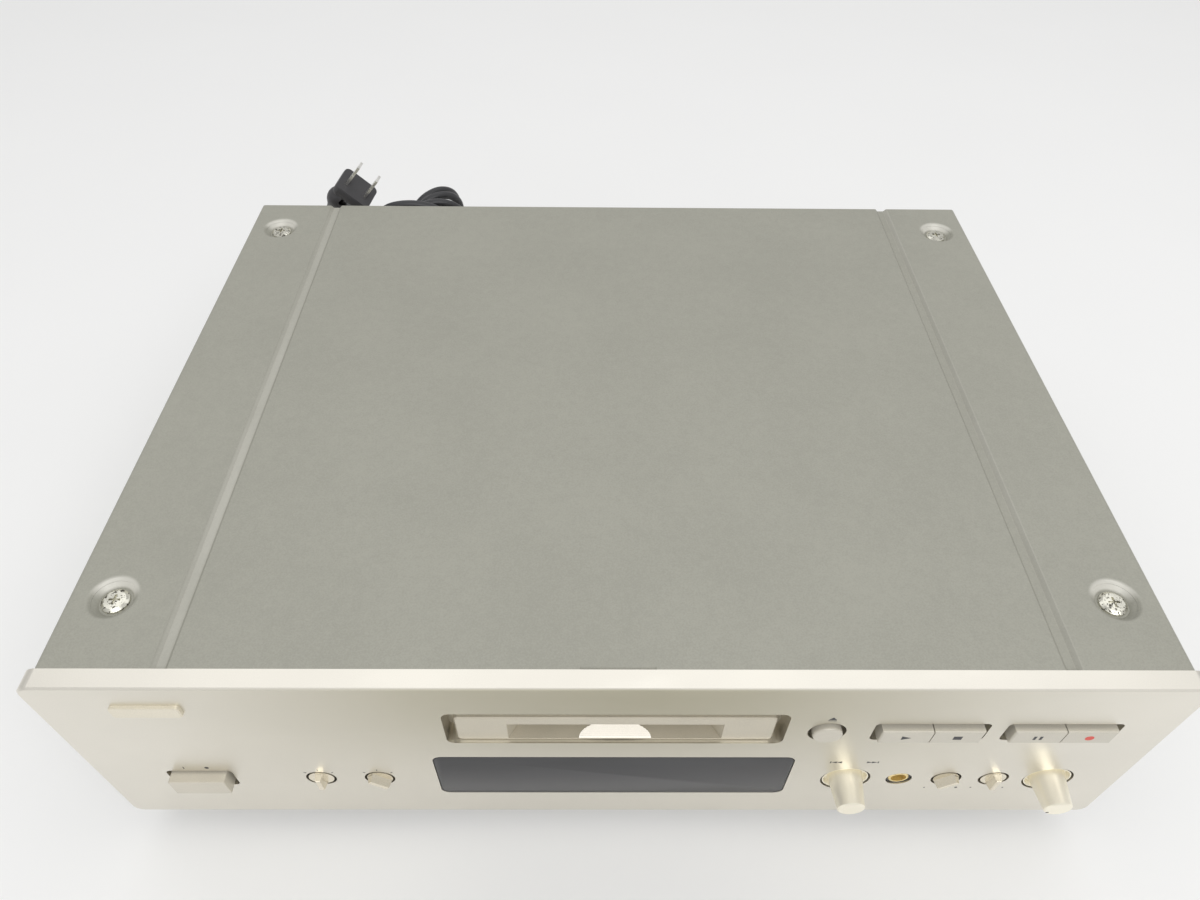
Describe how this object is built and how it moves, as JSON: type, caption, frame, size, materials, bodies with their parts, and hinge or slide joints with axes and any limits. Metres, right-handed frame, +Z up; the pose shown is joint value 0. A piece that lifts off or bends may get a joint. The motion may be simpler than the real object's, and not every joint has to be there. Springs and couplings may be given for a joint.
{
  "type": "minidisc deck",
  "caption": "Full-width hi-fi disc cartridge recorder with a slot loader, display window, transport buttons, rotary controls, a sheet-steel cover and a bundled mains cord.",
  "frame": {"origin": "on the shelf under the middle of the deck's own box, cord left out", "axes": "+X to the right seen from the front, +Y from the front panel to the back, +Z up"},
  "size_m": [0.434, 0.4396, 0.1499],
  "materials": {
    "panel": "satin anodised champagne",
    "escutcheon": "champagne paint on moulding",
    "shutter": "satin",
    "smoked": "smoked",
    "tube": "dark glass",
    "cover": "fine textured grey beige paint",
    "zinc": "zinc plated",
    "motor": "plain",
    "black": "matte",
    "white": "natural",
    "board": "laminate",
    "pad": "felt",
    "rubber": "soft",
    "cord": "soft vinyl",
    "brass": "plain",
    "heat_sink": "extruded"
  },
  "bodies": {
    "root": {"front_panel": "panel", "slot_escutcheon": "escutcheon", "display_window": "smoked", "nameplate": "panel", "rotary_controls": "zinc", "headphone_jack": "black", "jack_bushing": "brass", "front_frame": "black", "front_board": "board", "switches": "black", "display_tube": "tube", "base_chassis": "zinc", "rear_panel": "zinc", "top_cover": "cover", "cover_screws": "zinc", "feet": "black", "foot_pads": "pad", "drive_bracket": "zinc", "drive_dampers": "rubber", "drive_chassis": "zinc", "load_motor": "motor", "spindle_motor": "motor", "guide_rods": "zinc", "feed_motor": "motor", "main_board": "board", "power_board": "board", "board_parts": "black", "heat_sink": "heat_sink", "transformer": "motor", "transformer_coil": "black", "rca_jacks": "black", "optical_sockets": "black", "strain_relief": "cord", "power_cord": "cord", "cord_hank": "cord", "cord_tie": "white", "plug_body": "cord", "plug_blades": "brass"},
    "power_button": {"power_button": "panel"},
    "eject_button": {"eject_button": "panel"},
    "play_button": {"play_button": "panel"},
    "stop_button": {"stop_button": "panel"},
    "pause_button": {"pause_button": "panel"},
    "record_button": {"record_button": "panel"},
    "track_knob": {"track_knob": "panel", "track_shaft": "zinc"},
    "record_level_knob": {"record_level_knob": "panel", "record_level_shaft": "zinc"},
    "timer_knob": {"timer_knob": "panel"},
    "input_knob": {"input_knob": "panel"},
    "phones_level_knob": {"phones_level_knob": "panel"},
    "balance_knob": {"balance_knob": "panel"},
    "shutter": {"slot_shutter": "shutter"},
    "holder": {"disc_holder": "zinc"},
    "slider": {"load_slider": "zinc"},
    "load_gear": {"load_gear": "white"},
    "turntable": {"turntable": "zinc"},
    "pickup": {"optical_pickup": "zinc"},
    "head_arm": {"head_arm": "zinc"},
    "feed_screw": {"feed_screw": "zinc"}
  },
  "joints": [
    {"name": "power_press", "type": "slide", "parent": "root", "child": "power_button", "axis": [0, 1, 0], "range_m": [0, 0.003], "stiffness_N_per_m": 400},
    {"name": "eject_press", "type": "slide", "parent": "root", "child": "eject_button", "axis": [0, 1, 0], "range_m": [0, 0.0009], "stiffness_N_per_m": 600},
    {"name": "play_press", "type": "slide", "parent": "root", "child": "play_button", "axis": [0, 1, 0], "range_m": [0, 0.0009], "stiffness_N_per_m": 600},
    {"name": "stop_press", "type": "slide", "parent": "root", "child": "stop_button", "axis": [0, 1, 0], "range_m": [0, 0.0009], "stiffness_N_per_m": 600},
    {"name": "pause_press", "type": "slide", "parent": "root", "child": "pause_button", "axis": [0, 1, 0], "range_m": [0, 0.0009], "stiffness_N_per_m": 600},
    {"name": "record_press", "type": "slide", "parent": "root", "child": "record_button", "axis": [0, 1, 0], "range_m": [0, 0.0009], "stiffness_N_per_m": 600},
    {"name": "track_turn", "type": "hinge", "parent": "root", "child": "track_knob", "pos_m": [0.09875, -0.15935, 0.05085], "axis": [0, 1, 0], "continuous": true},
    {"name": "record_level_turn", "type": "hinge", "parent": "root", "child": "record_level_knob", "pos_m": [0.1856, -0.15935, 0.05085], "axis": [0, 1, 0], "range_deg": [-10, 290]},
    {"name": "timer_turn", "type": "hinge", "parent": "root", "child": "timer_knob", "pos_m": [-0.1243, -0.15935, 0.0512], "axis": [0, 1, 0], "range_deg": [-45, 45]},
    {"name": "input_turn", "type": "hinge", "parent": "root", "child": "input_knob", "pos_m": [-0.0995, -0.15935, 0.0512], "axis": [0, 1, 0], "range_deg": [0, 90]},
    {"name": "phones_level_turn", "type": "hinge", "parent": "root", "child": "phones_level_knob", "pos_m": [0.1419, -0.15935, 0.0512], "axis": [0, 1, 0], "range_deg": [-15, 285]},
    {"name": "balance_turn", "type": "hinge", "parent": "root", "child": "balance_knob", "pos_m": [0.16225, -0.15935, 0.0512], "axis": [0, 1, 0], "range_deg": [-135, 135]},
    {"name": "shutter_swing", "type": "hinge", "parent": "root", "child": "shutter", "pos_m": [-0.0004, -0.13635, 0.094], "axis": [1, 0, 0], "range_deg": [0, 78], "stiffness_Nm_per_rad": 0.002},
    {"name": "load_slide", "type": "slide", "parent": "root", "child": "slider", "axis": [0, 1, 0], "range_m": [0, 0.014]},
    {"name": "holder_lower", "type": "slide", "parent": "root", "child": "holder", "axis": [0, 0, -1], "range_m": [0, 0.0055]},
    {"name": "load_gear_turn", "type": "hinge", "parent": "root", "child": "load_gear", "pos_m": [-0.0446, -0.08335, 0.0684], "axis": [-1, 0, 0], "range_deg": [0, 144.2]},
    {"name": "spindle_spin", "type": "hinge", "parent": "root", "child": "turntable", "pos_m": [0, -0.08735, 0.0815], "axis": [0, 0, 1], "continuous": true},
    {"name": "pickup_feed", "type": "slide", "parent": "root", "child": "pickup", "axis": [1, 0, 0], "range_m": [0, 0.0165]},
    {"name": "feed_screw_turn", "type": "hinge", "parent": "root", "child": "feed_screw", "pos_m": [0, -0.11335, 0.072], "axis": [1, 0, 0], "range_deg": [0, 5400]},
    {"name": "head_lower", "type": "hinge", "parent": "pickup", "child": "head_arm", "pos_m": [0.0402, -0.08735, 0.099], "axis": [0, -1, 0], "range_deg": [0, 8]}
  ],
  "couplings": [
    {"joint": "holder_lower", "follows": "load_slide", "ratio": 0.39286},
    {"joint": "load_gear_turn", "follows": "load_slide", "rad_per_m": 178.57},
    {"joint": "feed_screw_turn", "follows": "pickup_feed", "rad_per_m": 5711.4}
  ]
}
